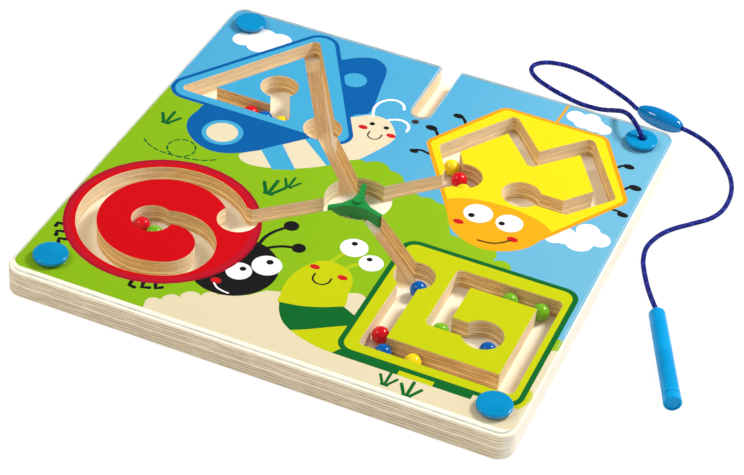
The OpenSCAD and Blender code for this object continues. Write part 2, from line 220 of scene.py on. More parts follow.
def in_run(s, x, y, start, end):
    """1 inside a run of groove from start to end, with the distances along and across the run."""
    start, end = np.array(start) * MM, np.array(end) * MM
    length = np.linalg.norm(end - start)
    ux, uy = (end - start) / length
    ax, ay = start
    along = s.math("MULTIPLY_ADD", x, ux, s.math("MULTIPLY_ADD", y, uy, -(ax * ux + ay * uy)))
    across = s.math("MULTIPLY_ADD", x, -uy, s.math("MULTIPLY_ADD", y, ux, ax * uy - ay * ux))
    ends = s.math("MULTIPLY", s.rise(along, 0.0, 5 * MM),
                  s.math("SUBTRACT", 1.0, s.rise(along, length - 3 * MM, length + 2 * MM)))
    near = s.math("SUBTRACT", 1.0, s.rise(s.math("ABSOLUTE", across), 5.9 * MM, 6.4 * MM))
    return s.math("MULTIPLY", ends, near), along, across


def plywood(name):
    """Plies and glue lines on upright faces, straight grain on level ones; faces towards the right get
    painted light, some groove floors painted shade.
    """
    s = Shader(name)
    at = s.coords()
    x, y, z = s.split(at)
    facing = s.split(s.node("ShaderNodeNewGeometry").outputs["Normal"])
    flat = s.rise(s.math("ABSOLUTE", facing[2]), 0.6, 0.9)
    # the plies, seen on every upright face: each has its own tone, and a line of glue below it
    wander = s.math("SUBTRACT", s.noise(s.stretch(at, (14, 14, 60)), 1.0, 3.0), 0.5)
    level = s.math("ADD", s.math("DIVIDE", z, PLY), s.math("MULTIPLY", wander, 0.5))
    ply = s.math("FLOOR", level)
    own = s.node("ShaderNodeTexWhiteNoise", {"noise_dimensions": "1D"}, {"W": ply}).outputs[0]
    cross = s.math("GREATER_THAN", s.math("FRACT", s.math("MULTIPLY", ply, 0.5)), 0.25)
    line = s.math("SUBTRACT", 1.0, s.rise(s.math("PINGPONG", s.math("FRACT", level), 0.5), 0.02, 0.15))
    broken = s.rise(s.noise(s.stretch(at, (90, 90, 400)), 1.0, 3.0), 0.3, 0.6)
    line = s.math("MULTIPLY", line, broken)
    fibres = s.noise(s.stretch(at, (60, 60, 2300)), 1.0, 6.0, 0.75)
    pores = s.noise(s.stretch(at, (1000, 1000, 2600)), 1.0, 3.0, 0.7)
    grain = s.math("ADD", s.math("MULTIPLY", fibres, 0.7), s.math("MULTIPLY", pores, 0.3))
    tone = s.math("ADD", s.math("MULTIPLY", cross, 0.2), s.math("MULTIPLY", own, 0.25))
    tone = s.math("ADD", tone, s.math("MULTIPLY", s.math("SUBTRACT", grain, 0.42), 3.2))
    outer = s.math("GREATER_THAN", s.math("MAXIMUM", s.math("ABSOLUTE", x), s.math("ABSOLUTE", y)),
                   OUTER_EDGE)
    tan = s.ramp(tone, [(0.0, WALL_PALE), (0.35, WALL_LIGHT), (1.0, WALL_BROWN)])
    pale = s.ramp(tone, [(0.0, EDGE_PALE), (0.35, EDGE_LIGHT), (1.0, EDGE_DARK)])
    side = s.mix(outer, tan, pale)
    # painted light: faces towards the right are painted paler, most of all those of the board's own edge
    strength = s.math("ADD", 0.5, s.math("MULTIPLY", outer, 0.2))
    painted_right_light = s.math("MULTIPLY", s.rise(facing[0], 0.15, 0.95), strength)
    side = s.mix(painted_right_light, side, s.mix(outer, linear(FLOOR_PALE), linear(EDGE_LIT_WHITE)))
    # the glue lines fade under the same painted light
    glue = s.math("MULTIPLY", line, s.math("SUBTRACT", 0.8, s.math("MULTIPLY", painted_right_light, 0.8)))
    side = s.mix(glue, side, linear(GLUE))
    # face grain, seen on the floor of the grooves and on the bare margin
    streaks = s.noise(s.stretch(at, (420, 16, 16)), 1.0, 5.0, 0.6)
    flecks = s.noise(s.stretch(at, (1500, 120, 100)), 1.0, 2.0, 0.6)
    face_grain = s.math("ADD", s.math("MULTIPLY", streaks, 0.7), s.math("MULTIPLY", flecks, 0.3))
    face = s.ramp(face_grain, [(0.3, FLOOR_LIGHT), (0.6, FLOOR_PALE)])
    # painted shade: the floors of the shaded runs are painted brown as if in their walls' shadow, with
    # streaks of grain along each run
    for start, end in SHADED_RUNS:
        share, along, across = in_run(s, x, y, start, end)
        place = s.node("ShaderNodeCombineXYZ", None, {0: along, 1: across, 2: 0.0}).outputs[0]
        streak = s.noise(s.stretch(place, (30, 900, 1)), 1.0, 5.0, 0.65)
        brown = s.ramp(streak, [(0.3, RUN_SHADE_BROWN), (0.62, RUN_SHADE_PALE)])
        low = s.math("LESS_THAN", z, 6 * MM)
        face = s.mix(s.math("MULTIPLY", share, low), face, brown)
    colour = s.mix(flat, side, face)
    relief = s.bump(s.math("ADD", grain, s.math("MULTIPLY", line, -0.6)), 0.15 * MM, 0.5,
                    s.eased(0.5 * MM))
    return s.surface(Base_Color=colour, Roughness=0.62, Normal=relief)


def plastic(name, colour, rough, grain, shine):
    """Moulded plastic with a slight mottle; grain is the depth of its texture in millimetres, and
    shine the strength of its reflections."""
    s = Shader(name)
    at = s.coords()
    mottle = s.noise(at, 60.0, 3.0)
    darker = tuple(0.93 * v for v in colour)
    tone = s.ramp(mottle, [(0.35, darker), (0.65, colour)])
    fine = s.noise(at, 2500.0, 2.0)
    normal = s.bump(fine, grain * MM, 0.6, s.eased(0.25 * MM))
    roughness = s.math("ADD", rough, s.math("MULTIPLY", s.math("SUBTRACT", mottle, 0.5), 0.12))
    return s.surface(Base_Color=tone, Roughness=roughness, Normal=normal, Specular_IOR_Level=shine)


def paint(name, colour):
    """Glossy enamel on a steel ball."""
    s = Shader(name)
    at = s.coords()
    uneven = s.noise(at, 260.0, 2.0)
    tone = s.ramp(uneven, [(0.3, tuple(0.9 * v for v in colour)), (0.7, colour)])
    normal = s.bump(s.noise(at, 700.0, 2.0), 0.03 * MM, 0.25)
    return s.surface(Base_Color=tone, Roughness=0.16, Normal=normal, Specular_IOR_Level=0.3)


def steel(name, colour, rough):
    """Brushed steel."""
    s = Shader(name)
    brushed = s.noise(s.stretch(s.coords(), (300, 4000, 300)), 1.0, 3.0)
    tone = s.ramp(brushed, [(0.3, tuple(0.8 * v for v in colour)), (0.7, colour)])
    return s.surface(Base_Color=tone, Metallic=1.0, Roughness=rough,
                     Normal=s.bump(brushed, 0.02 * MM, 0.4))


def ink(name, colour, right_lit_colour, depth):
    """Matt printing ink; the third argument, if given, is a paler colour painted towards the board's right
    side as painted light from the right, and depth the share of the light that it keeps."""
    s = Shader(name)
    at = s.coords()
    speck = s.noise(at, 900.0, 3.0, 0.7)
    shade = linear(colour)
    # painted light: the ink turns paler towards the board's right side
    if right_lit_colour is not None:
        shade = s.mix(s.rise(s.split(at)[0], -0.05, 0.15), linear(colour), linear(right_lit_colour))
    grain = s.noise(s.stretch(at, (600, 22, 22)), 1.0, 4.0, 0.6)
    uneven = s.math("MULTIPLY", s.math("ADD", speck, grain), 0.035)
    tone = s.grey(s.math("MULTIPLY", s.math("ADD", 0.965, uneven), depth))
    shade = s.mix(1.0, shade, tone, "MULTIPLY")
    return s.surface(Base_Color=shade, Roughness=0.6, Specular_IOR_Level=0.04,
                     Normal=s.bump(grain, 0.03 * MM, 0.4))


def acrylic(name):
    """Clear sheet: see-through with a faint reflection on its faces, and milky grey edges. Only the
    camera sees it, so that it dims nothing below it."""
    s = Shader(name)
    path = s.node("ShaderNodeLightPath").outputs
    geometry = s.node("ShaderNodeNewGeometry").outputs
    edge = s.math("SUBTRACT", 1.0, s.rise(s.math("ABSOLUTE", s.split(geometry["True Normal"])[2]), 0.1, 0.5))
    clear = s.node("ShaderNodeBsdfTransparent", None, {0: (0.985, 0.99, 0.988, 1.0)}).outputs[0]
    shine = s.node("ShaderNodeBsdfGlossy", None, {"Color": (1, 1, 1, 1), "Roughness": 0.03}).outputs[0]
    front = s.math("SUBTRACT", 1.0, geometry["Backfacing"])
    fresnel = s.math("MULTIPLY", s.node("ShaderNodeFresnel", None, {"IOR": 1.49}).outputs[0], front)
    fresnel = s.math("MULTIPLY", fresnel, 0.5)
    face = s.node("ShaderNodeMixShader", None, {0: fresnel, 1: clear, 2: shine}).outputs[0]
    cloudy = s.noise(s.stretch(s.coords(), (90, 90, 200)), 1.0, 3.0)
    frost = s.ramp(cloudy, [(0.35, (196, 202, 198)), (0.65, (232, 230, 232))])
    milky = s.node("ShaderNodeBsdfPrincipled", None, {"Base Color": frost, "Roughness": 0.3}).outputs[0]
    tinted = s.node("ShaderNodeBsdfTransparent", None, {0: linear((226, 238, 232))}).outputs[0]
    band = s.node("ShaderNodeMixShader", None, {0: 0.75, 1: tinted, 2: milky}).outputs[0]
    seen = s.node("ShaderNodeMixShader", None, {0: edge, 1: face, 2: band}).outputs[0]
    plain = s.node("ShaderNodeBsdfTransparent", None, {0: (1, 1, 1, 1)}).outputs[0]
    unseen = s.math("SUBTRACT", 1.0, path["Is Camera Ray"])
    return s.output(s.node("ShaderNodeMixShader", None, {0: unseen, 1: seen, 2: plain}).outputs[0])


def yarn(name, dark, light):
    """Twisted synthetic yarn; its lighter flecks are painted sheen."""
    s = Shader(name)
    at = s.coords()
    fibres_and_sheen = s.noise(at, 1400.0, 4.0, 0.7)
    patches = s.noise(at, 260.0, 2.0)
    # painted sheen: lighter flecks where the fine fibre noise and the patches are both high
    share = s.math("MULTIPLY", s.rise(fibres_and_sheen, 0.45, 0.75), s.rise(patches, 0.35, 0.7))
    tone = s.mix(share, linear(dark), linear(light))
    return s.surface(Base_Color=tone, Roughness=0.6, Specular_IOR_Level=0.2,
                     Normal=s.bump(fibres_and_sheen, 0.12 * MM, 0.7))


# ---- printed artwork -------------------------------------------------------------------------
# Outlines are lists of points in millimetres from the board's centre. Shapes are painted in
# order, so a later one covers an earlier one.

INK_DEPTH = 0.76               # share of the light that an ink over wood keeps
WHITE_DEPTH = 0.93             # the same for the opaque whites
WHITES = ("cloud", "white")
# each ink: its colour, and a paler colour painted towards the board's right side as painted light, or None
INKS = {
    "sky": ((84, 182, 228), (118, 194, 228)),
    "panel_sky": ((72, 181, 228), None),
    "grass": ((147, 198, 22), (158, 202, 28)),
    "sand": ((247, 230, 192), None),
    "cloud": ((244, 245, 243), None),
    "deep_blue": ((0, 101, 178), None),
    "cream": ((250, 234, 198), None),
    "crimson": ((176, 14, 44), None),
    "wine": ((206, 18, 42), None),
    "red": ((224, 0, 16), None),
    "cheek": ((222, 28, 34), None),
    "black": ((30, 28, 30), None),
    "white": ((247, 245, 246), None),
    "lemon": ((254, 236, 22), None),
    "honey": ((250, 172, 18), None),
    "face_orange": ((252, 182, 22), None),
    "leaf": ((212, 218, 6), None),
    "moss": ((190, 214, 24), None),
    "pine": ((12, 112, 44), None),
    "brown": ((92, 50, 18), None),
}
PRINT_BOX = (-148.4, 148.9, -143.4, 148.6)
PRINT_CORNER = 7
PRINT_GAP = 0.006              # the print's underside and top, in millimetres above the wood
PRINT_TOP = 0.045
SAME_POINT = 1e-4              # points nearer than this are one, in millimetres
THINNEST = 1e-9                # a triangle of less than half this area, in square millimetres, is left out
ARC_STEP = 9                   # degrees between points of an arc


def arc(centre, radius, start, end, squeeze=1.0):
    """Points on an arc; squeeze is its height over its width."""
    count = max(2, int(abs(end - start) / ARC_STEP) + 1)
    turns = np.radians(np.linspace(start, end, count))
    return [(centre[0] + radius * math.cos(t), centre[1] + squeeze * radius * math.sin(t)) for t in turns]


def disc(centre, radius, squeeze=1.0):
    return arc(centre, radius, 0, 360 - ARC_STEP, squeeze)


def rounded(corners, radii):
    """A polygon with its corners rounded; radii is one number, or one for each corner."""
    points = np.array(corners, float)
    count = len(points)
    radii = radii if isinstance(radii, (list, tuple)) else [radii] * count
    outline = []
    for i, radius in enumerate(radii):
        to_before = unit(points[i - 1] - points[i])
        to_after = unit(points[(i + 1) % count] - points[i])
        half = math.acos(np.clip(to_before @ to_after, -1, 1)) / 2
        centre = points[i] + unit(to_before + to_after) * radius / math.sin(half)
        first = points[i] + to_before * radius / math.tan(half) - centre
        last = points[i] + to_after * radius / math.tan(half) - centre
        start = math.atan2(first[1], first[0])
        sweep = (math.atan2(last[1], last[0]) - start + math.pi) % (2 * math.pi) - math.pi
        steps = max(2, int(abs(math.degrees(sweep)) / ARC_STEP) + 1)
        outline += [(centre[0] + radius * math.cos(start + sweep * k / (steps - 1)),
                     centre[1] + radius * math.sin(start + sweep * k / (steps - 1)))
                    for k in range(steps)]
    return outline


def inset(corners, distance):
    """The corners of a polygon, moved inwards by the distance; the corners run either way round."""
    points = np.array(corners, float)
    area = sum(a[0] * b[1] - a[1] * b[0] for a, b in zip(points, np.roll(points, -1, 0)))
    moved = []
    for i in range(len(points)):
        before = points[i] - points[i - 1]
        after = points[(i + 1) % len(points)] - points[i]
        sides = [math.copysign(1, area) * np.array([-d[1], d[0]]) / np.linalg.norm(d)
                 for d in (before, after)]
        out = sides[0] + sides[1]
        moved.append(tuple(points[i] + distance * out / (1 + sides[0] @ sides[1])))
    return moved


def curve(points, closed=True, steps=5):
    """A smooth line through the points."""
    p = np.array(points, float)
    count = len(p)
    spans = count if closed else count - 1
    line = []
    for i in range(spans):
        if closed:
            a, b, c, d = (p[(i + k) % count] for k in (-1, 0, 1, 2))
        else:
            a, b, c, d = p[max(i - 1, 0)], p[i], p[i + 1], p[min(i + 2, count - 1)]
        line += [spline(a, b, c, d, k / steps) for k in range(steps)]
    if not closed:
        line.append(p[-1])
    return [tuple(q) for q in line]


def stroke(line, width):
    """The outline of a line drawn with a round pen."""
    p = np.array(line, float)
    ways = units(np.diff(p, axis=0))
    joints = units(np.vstack([ways[:1], ways[:-1] + ways[1:], ways[-1:]]))
    out = np.stack([-joints[:, 1], joints[:, 0]], 1) * width / 2
    turn = [math.degrees(math.atan2(w[1], w[0])) for w in (ways[0], ways[-1])]
    cap_end = arc(p[-1], width / 2, turn[1] + 75, turn[1] - 75)
    cap_start = arc(p[0], width / 2, turn[0] - 105, turn[0] - 255)
    left = [tuple(q) for q in p + out]
    right = [tuple(q) for q in (p - out)[::-1]]
    return left + cap_end + right + cap_start


def background():
    """Sky over the whole print, hills of grass, and sand in front."""
    left, right, low, high = PRINT_BOX
    hills = (
        [(left - 5, low - 5), (left - 5, 50), (-120, 45), (-60, 45), (-22, 30)]
        + arc((-13, 29), 6.5, 150, 60) + arc((-2, 30.5), 8.5, 120, 30) + arc((9, 25), 9, 95, 20)
        + [(24, 18)] + arc((28.5, 14.5), 5.5, 120, 50) + arc((37, 13.5), 6.8, 115, 50)
        + arc((45.5, 12), 6.5, 110, 0)
        + [(60, -6), (89, -6)] + arc((86, -13), 5, 45, -40) + arc((96, -20.5), 6.3, 140, 0)
        + [(120, -40), (143, -60)] + arc((146.5, -68), 4.6, 110, 0) + [(right + 5, -68), (right + 5, low - 5)]
    )
    sand = (
        [(-66, low - 5), (-66.5, -142.5)] + arc((-63, -137.5), 4.6, 200, 70)
        + arc((-55, -131.5), 5.6, 190, 75) + arc((-46.5, -125), 6.2, 195, 70)
        + arc((-37.5, -119.5), 5, 185, 60) + [(-20, -108), (-12.5, -99.5)]
        + arc((-5, -101.5), 4.5, 120, 60) + [(20, -84)]
        + arc((34.5, -84.5), 6.2, 130, 50) + [(60, -74), (140, -74)] + arc((149, -78), 5.2, 150, 60)
        + [(right + 5, -74), (right + 5, low - 5)]
    )
    return [("sky", [(left - 5, low - 5), (right + 5, low - 5), (right + 5, high + 5), (left - 5, high + 5)]),
            ("grass", hills), ("sand", sand)]


def clouds():
    puffs = [
        (-130.5, 118, 7), (-120.5, 126.5, 8.6), (-109.5, 127, 8), (-119, 116.5, 8), (-108, 117, 8),
        (87.5, 139.5, 6), (93.5, 135.5, 6), (100.5, 136, 6.8), (107, 134.5, 5.2), (97, 141, 6),
        (130.5, 34, 7.2), (138.8, 29.6, 6.6), (128.8, 22.3, 8.4), (118.5, 24, 8), (114, 19.5, 5.2),
    ]
    return [("cloud", disc((x, y), r)) for x, y, r in puffs]


def butterfly():
    upper_wing = curve([(-72, 118), (-64, 128), (-56.5, 134.5), (-47.5, 138), (-39.5, 134.5), (-34.8, 126.5),
                        (-31, 106), (-27.5, 88), (-28.5, 80.5), (-34, 76.5), (-38.5, 70.5), (-50, 76)])
    lower_wing = curve([(-117, 44), (-121.5, 34), (-122.5, 24), (-119.5, 15.5), (-113.5, 8.5), (-106, 3.8),
                        (-97, 1.5), (-88, 3.2), (-79, 8.5), (-70, 16.5), (-61, 26.5), (-53.5, 36), (-46, 44),
                        (-80, 50)])
    body = curve([(-79.8, 5.5), (-76, 1.3), (-69, 0), (-60, 2), (-50, 6), (-40, 12), (-30, 20), (-21, 30),
                  (-14, 40), (-30, 60), (-50, 40), (-60, 28.5), (-70, 16.3), (-77, 10)])
    stripes = [
        [(-70.5, 16.5), (-56.5, 2), (-44, 8), (-61.5, 27.5)],
        [(-51.5, 38.5), (-29.5, 20.5), (-21, 28), (-45, 45)],
    ]
    head = curve([(-36.5, 70), (-32.5, 75), (-27, 80), (-21, 81.3), (-14, 80), (-8.5, 74.5), (-4, 67),
                  (-4.3, 60), (-7.5, 51), (-11.5, 42), (-15, 35), (-19.5, 33.5), (-26, 42), (-31, 56)])
    art = [("deep_blue", upper_wing), ("panel_sky", disc((-49.5, 110), 7.6)),
           ("deep_blue", lower_wing), ("panel_sky", disc((-98.3, 21.2), 12.6)),
           ("cream", disc((-98.5, 21.2), 9.6)), ("cream", body)]
    art += [("panel_sky", stripe) for stripe in stripes]
    art += [("cream", head)]
    feelers = [
        [(-24.5, 80), (-27, 88), (-26.2, 95), (-22.5, 100.2), (-17.5, 102), (-12.5, 100), (-10, 95.5)],
        [(-14.5, 80.5), (-11, 83), (-7, 84.2), (-3, 82.8), (-0.4, 79.4), (0, 75)],
    ]
    art += [("white", stroke(curve(f, False), 1.8)) for f in feelers]
    art += [("black", disc(eye, 1.7)) for eye in ((-21.7, 72.4), (-12.4, 72.4))]
    art += [("cheek", disc(cheek, 3, 0.68)) for cheek in ((-25.4, 66.6), (-6.8, 66.3))]
    smile = [(-20, 64.5)] + arc((-16, 62), 4, 180, 360) + [(-12, 64.5)]
    return art + [("black", stroke(smile, 0.9))]


def triangle_panel():
    corners = [(-83.3, 158.7), (-158.5, 41.4), (-19.3, 41.4)]
    radii = [12.5, 12.5, 10.5]
    border = 2.7
    inner = [r - border for r in radii]
    return [("deep_blue", rounded(corners, radii)), ("panel_sky", rounded(inset(corners, border), inner))]


def bee():
    corners = [(13.6, 72), (44.5, 128.3), (112, 128.3), (143.3, 71.5), (108, 12), (51, 12)]
    radii = [7, 8, 8, 7, 2, 2]
    border = 2.6
    art = [("honey", stroke([(78.6, 126), (80, 160)], 1.7))]
    legs = [
        ((22.3, 105.2), 3.4, [(24.5, 105.3), (26.8, 103.3), (29, 100)]),
        ((12, 85.8), 3.8, [(14, 85.6), (16.2, 83.5), (18.5, 80)]),
        ((11.2, 58.7), 2.8, [(12, 60.5), (15.5, 61.6), (21, 60.3)]),
        ((132.6, 105.4), 3.6, [(129.6, 105), (127.8, 103.4), (126, 100)]),
        ((142.4, 87), 4, [(139.6, 86.6), (138.2, 84.8), (136, 81)]),
        ((143.6, 58.6), 3.4, [(141.6, 60.6), (139, 60.8), (134, 60.3)]),
    ]
    for foot, size, limb in legs:
        art += [("black", disc(foot, size, 0.68)), ("black", stroke(limb, 2.0))]
    art += [("honey", rounded(corners, radii)),
            ("lemon", rounded(inset(corners, border), [max(r - border, 1) for r in radii]))]
    face = curve([(46.5, 23.5), (51, 27.6), (58, 30.8), (68, 33), (79, 33.8), (90, 33), (100, 30.6),
                  (107.5, 27), (112, 22.5), (109.5, 16), (105.5, 6), (100, -1), (91, -7), (79, -9.6),
                  (67.5, -6.6), (59, -1), (53.5, 7), (49.5, 16)])
    art.append(("face_orange", face))
    art += [("white", disc((67.5, 20), 8.7)), ("white", disc((87, 19.7), 8.1)),
            ("black", disc((64.5, 16.7), 2)), ("black", disc((83, 17.6), 1.9)),
            ("cheek", disc((59.8, 7.6), 3.2, 0.68)), ("cheek", disc((93.6, 6.5), 3.3, 0.68))]
    return art + [("brown", stroke(curve([(76, -3.2), (83.5, -2.4), (89, 0.8), (92.6, 5)], False), 1.3))]


def ladybird():
    centre = (-91.6, -70.3)
    art = [("black", disc((-37.8, -89), 25.6))]
    feelers = [
        ((-24, -41.4), 4.5, [(-33.5, -64), (-33, -57), (-30.5, -50.5), (-26, -44)]),
        ((-12, -57.8), 4.1, [(-28, -66), (-24, -62.5), (-19.5, -60), (-13.5, -58.2)]),
    ]
    for knob, size, limb in feelers:
        art += [("black", disc(knob, size)), ("black", stroke(curve(limb, False), 2.2))]
    smile = curve([(-41, -107.2), (-38, -109.8), (-34.5, -110.9), (-30.5, -111.3)], False)
    art += [("white", disc((-21.5, -80), 8.6)), ("black", disc((-21.2, -76.6), 2.1)),
            ("white", disc((-33.4, -91.5), 7.4)), ("black", disc((-32.2, -88.7), 1.9)),
            ("cheek", disc((-41.2, -104.6), 3.1, 0.8)), ("white", stroke(smile, 1.1))]
    feet = [
        [(-139.5, -100), (-142.6, -100.4), (-142.4, -103.3)],
        [(-135.5, -105.6), (-139.5, -107.2), (-138.2, -110.4)],
        [(-131.5, -111.4), (-135.2, -112.4), (-133.6, -116.5)],
        [(-82, -125.5), (-81.6, -130), (-78.4, -130.6)],
        [(-75.6, -124.5), (-74.6, -128.6), (-71, -127.2)],
        [(-69.5, -122), (-67.6, -126), (-64.8, -123.8)],
    ]
    art += [("black", stroke(foot, 2.6)) for foot in feet]
    return art + [("crimson", disc(centre, 56.8)), ("wine", disc(centre, 55.2)),
                  ("red", disc((-92.2, -70.3), 51.8))]


def caterpillar():
    head = curve([(9.5, -60), (15.5, -60.6), (21, -63), (25, -67), (27.6, -73), (28.7, -81), (31, -93),
                  (22, -99), (8, -105), (-2.4, -106), (-4.8, -98), (-6, -90), (-5.8, -82), (-3.5, -73),
                  (0.5, -65.5), (4.5, -61.5)])
    band = ([(-2.4, -105)] + curve([(-2.4, -105), (9, -102.8), (20, -98.4), (30.6, -92.3)], False)
            + [(42, -98), (42, -104)]
            + curve([(40, -105.2), (30.5, -111.6), (21, -118.4), (12.6, -123.6)], False)
            + curve([(12.6, -123.6), (6, -119), (1, -112.5), (-2.4, -105)], False))
    lower = ([(12.6, -123.6), (24, -115), (42, -102), (44, -124.5), (40, -130)]
             + curve([(40, -130), (31, -129.3), (21, -126.8), (12.6, -123.6)], False))
    stalks = [[(15, -44), (11, -54), (8.5, -63)], [(30, -50), (22, -57), (18.5, -63)]]
    art = [("moss", stroke(curve(s, False), 2.4)) for s in stalks]
    art += [("leaf", lower), ("leaf", head), ("pine", band),
            ("white", disc((15.8, -42.8), 8.1)), ("black", disc((14.6, -39.3), 1.8)),
            ("white", disc((29.7, -51), 7.1)), ("black", disc((27.6, -48.4), 1.7)),
            ("cheek", disc((2.8, -68.5), 3, 0.68)), ("cheek", disc((20.3, -70.1), 3, 0.68))]
    smile = [(5.3, -73.8)] + arc((10.3, -76.2), 5, 180, 360) + [(15.3, -73.8)]
    return art + [("black", stroke(smile, 1.1))]


def square_panel():
    corners = [(38.8, -20.2), (38.8, -126), (145.4, -126), (145.4, -20.2)]
    border = 3.1
    skirt = [(40, -130), (44.5, -122), (119.8, -122), (119.8, -130)]
    tail = curve([(143, -109), (147.5, -110.5), (149, -115), (147.5, -121), (144, -126), (138, -120)])
    return [("pine", skirt), ("leaf", [(77.8, -126.3), (98, -126.3), (98, -130.1), (77.8, -130.1)]),
            ("leaf", tail), ("pine", rounded(corners, 9)),
            ("leaf", rounded(inset(corners, border), 6.5))]


def tufts():
    """Grass tufts: three blades that fan out from a short base."""
    art = []
    places = [(-133, 14.2, 1.0), (-48.6, -20, 1.1), (-40.8, -9, 0.8), (74.8, -140, 0.8), (88.5, -143, 0.95)]
    for x, y, size in places:
        for lean, height in ((-6, 8), (0, 12), (6, 8)):
            tip = (x + size * lean, y + size * height)
            foot = (x + 0.25 * size * lean, y)
            art.append(("pine", stroke([foot, tip], 2.1 * size)))
        art.append(("pine", stroke([(x - 2 * size, y - 0.3), (x + 2 * size, y - 0.3)], 2.2 * size)))
    return art


def dashes():
    """The dashed trail of a flight: a long dip with a loop in it."""
    dip = curve([(-137, -6.5), (-131, -10.6), (-122, -13.2), (-112, -13), (-103, -11.6), (-95, -8.8),
                 (-88.5, -4.2)], False, 24)
    loop = arc((-113, -4.5), 8.5, -90, 265)
    art = []
    for line in (dip, loop):
        p = np.array(line)
        length = np.concatenate([[0], np.cumsum(np.linalg.norm(np.diff(p, axis=0), axis=1))])
        for start in np.arange(0.5, length[-1] - 3, 5.2):
            ends = [(np.interp(d, length, p[:, 0]), np.interp(d, length, p[:, 1]))
                    for d in (start, start + 1.6, start + 3.2)]
            art.append(("pine", stroke(ends, 1.1)))
    return art


def enclosed(points, edges):
    """Which points lie within closed outlines, given as edges: an odd number lie to their right."""
    found = np.zeros(len(points), bool)
    for (x0, y0), (x1, y1) in edges:
        if y0 != y1:
            crosses = (points[:, 1] < y0) != (points[:, 1] < y1)
            found ^= crosses & (points[:, 0] < x0 + (points[:, 1] - y0) * (x1 - x0) / (y1 - y0))
    return found


def inside(points, loop):
    """Which points lie inside one closed outline."""
    return enclosed(points, zip(loop, loop[1:] + loop[:1]))


def renumbered(groups):
    """The numbers used in the groups, in order, and the groups with their numbers counted in that order."""
    used = sorted({k for group in groups for k in group})
    index = {old: new for new, old in enumerate(used)}
    return used, [tuple(index[k] for k in group) for group in groups]


def board_face_edges(level):
    """The edges, in millimetres, round the flat face of maze_board at the level."""
    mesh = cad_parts["maze_board"].data
    corners = np.array([v.co for v in mesh.vertices]) / MM
    spot = {}
    place = [spot.setdefault((round(x, 3), round(y, 3)), len(spot)) for x, y, z in corners]
    seen = {}
    for face in mesh.polygons:
        ids = list(face.vertices)
        if np.abs(corners[ids, 2] - level).max() < 0.01:
            for a, b in zip(ids, ids[1:] + ids[:1]):
                edge = tuple(sorted((place[a], place[b])))
                seen[edge] = seen.get(edge, 0) + 1
    return list(spot), [edge for edge, uses in seen.items() if uses == 1 and edge[0] != edge[1]]


def inked_faces(border, art, level):
    """The print as flat triangles: their points, and each triangle with the number of its ink."""
    spots, edges = board_face_edges(level)
    wood = [(spots[a], spots[b]) for a, b in edges]
    used, edges = renumbered(edges)
    points = [spots[i] for i in used]
    for loop in [border] + [outline for _, outline in art]:
        first = len(points)
        points += loop
        edges += [(first + k, first + (k + 1) % len(loop)) for k in range(len(loop))]
    made = delaunay_2d_cdt([Vector(p) for p in points], edges, [], 0, SAME_POINT)
    flat, faces = np.array([tuple(v) for v in made[0]]), [list(f) for f in made[2]]
    centres = np.array([flat[f].mean(0) for f in faces])
    names = list(INKS)
    tones = np.zeros(len(faces), int)
    for name, outline in art:
        tones[inside(centres, outline)] = names.index(name)
    top = []
    for i in np.flatnonzero(enclosed(centres, wood) & inside(centres, border)):
        a, b, c = (flat[k] for k in faces[i])
        turn = (b[0] - a[0]) * (c[1] - a[1]) - (b[1] - a[1]) * (c[0] - a[0])
        if abs(turn) > THINNEST:
            top.append((faces[i] if turn > 0 else faces[i][::-1], int(tones[i])))
    return flat, top


def closed_sheet(name, flat, top, low, high, materials):
    """A thin solid between two levels from flat triangles, with a rim along every open edge."""
    open_edges = {}
    for face, tone in top:
        for a, b in zip(face, face[1:] + face[:1]):
            if open_edges.pop((b, a), None) is None:
                open_edges[(a, b)] = tone
    count = len(flat)
    points = np.vstack([np.column_stack([flat, np.full(count, level)]) for level in (high, low)])
    faces = [face for face, _ in top] + [[k + count for k in face[::-1]] for face, _ in top]
    tones = [tone for _, tone in top] * 2
    for (a, b), tone in open_edges.items():
        faces.append([b, a, a + count, b + count])
        tones.append(tone)
    used, faces = renumbered(faces)
    return new_mesh(name, points[used], faces, materials, tones)


def printed_art():
    """The printed layer: one thin closed sheet, cut along the grooves, with a face set per ink."""
    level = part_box("maze_board")[1].z / MM
    left, right, low, high = PRINT_BOX
    border = rounded([(left, low), (right, low), (right, high), (left, high)], PRINT_CORNER)
    art = (background() + clouds() + butterfly() + triangle_panel() + tufts() + dashes() + ladybird()
           + bee() + caterpillar() + square_panel())
    flat, top = inked_faces(border, art, level)
    inks = []
    for name, (colour, right_lit_colour) in INKS.items():
        depth = WHITE_DEPTH if name in WHITES else INK_DEPTH
        inks.append(ink("ink_" + name, colour, right_lit_colour, depth))
    sheet = closed_sheet("printed_art", flat, top, level + PRINT_GAP, level + PRINT_TOP, inks)
    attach(sheet, "root")


# ---- cord ------------------------------------------------------------------------------------

CORD_R = 1.5
STRANDS = 4                    # strands that wind each way round the cord
BRAID_PITCH = 9.0              # length of cord in which a strand goes once round
BRAID_STEP = 0.55              # length of cord between the rings of a strand
STRAND_HALF = (0.66, 0.33)     # half width and half thickness of a strand
BRAID_R = 1.12                 # radius on which the strands wind
WEAVE = 0.13                   # how far a strand moves in and out as it passes its neighbours
STRAND_SIDES = 6
CORE_R = 0.85
CORE_SIDES = 12
FINE_STEPS = 24                # points in each span of a cord's line before it is resampled


def resample(points, step):
    """Points at even distances along a smooth line through the points."""
    line = np.array(points, float)
    fine = []
    for i in range(1, len(line) - 2):
        fine += [spline(*line[i - 1:i + 3], t) for t in np.arange(0, 1, 1 / FINE_STEPS)]
    fine.append(line[-2])
    fine = np.array(fine)
    along = np.concatenate([[0], np.cumsum(np.linalg.norm(np.diff(fine, axis=0), axis=1))])
    places = np.linspace(0, along[-1], int(along[-1] / step) + 1)
    return np.column_stack([np.interp(places, along, fine[:, k]) for k in range(3)]), places


